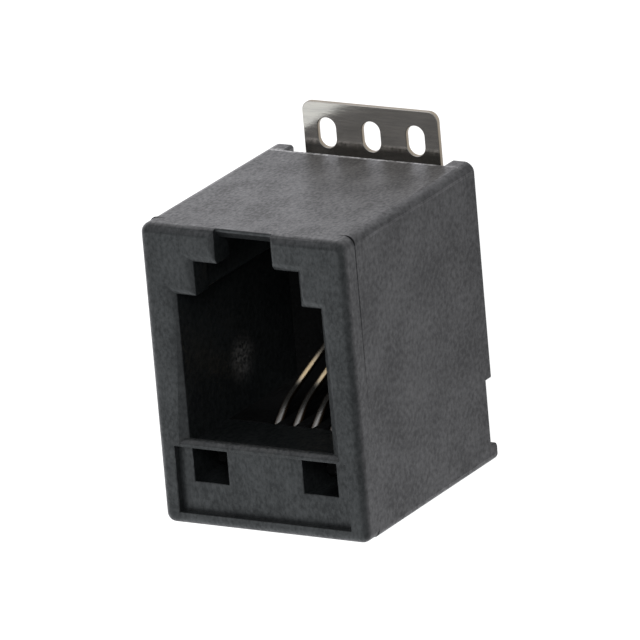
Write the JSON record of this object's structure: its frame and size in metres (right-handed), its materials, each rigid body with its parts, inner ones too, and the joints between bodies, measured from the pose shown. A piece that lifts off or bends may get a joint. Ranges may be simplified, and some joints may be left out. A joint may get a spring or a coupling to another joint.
{
  "type": "modular jack",
  "caption": "Top-entry surface-mount modular jack: black moulded housing with a keyed plug opening, plated spring contacts on a carrier and a slotted solder nail.",
  "frame": {"origin": "on the board plane, under the middle of the housing", "axes": "+Z out of the board and out of the plug opening, +Y towards the latch side and the solder nail, +X across the contacts"},
  "size_m": [0.0112, 0.0188, 0.013],
  "materials": {
    "housing_plastic": "satin moulded black",
    "carrier_plastic": "matte moulded black",
    "tin_plate": "tin-plated sheet, bright",
    "contact_plating": "nickel with selective gold, bright"
  },
  "bodies": {
    "root": {"housing": "housing_plastic", "contact_carrier": "carrier_plastic", "solder_nail": "tin_plate", "contact_1": "contact_plating", "contact_2": "contact_plating", "contact_3": "contact_plating", "contact_4": "contact_plating"}
  },
  "joints": []
}
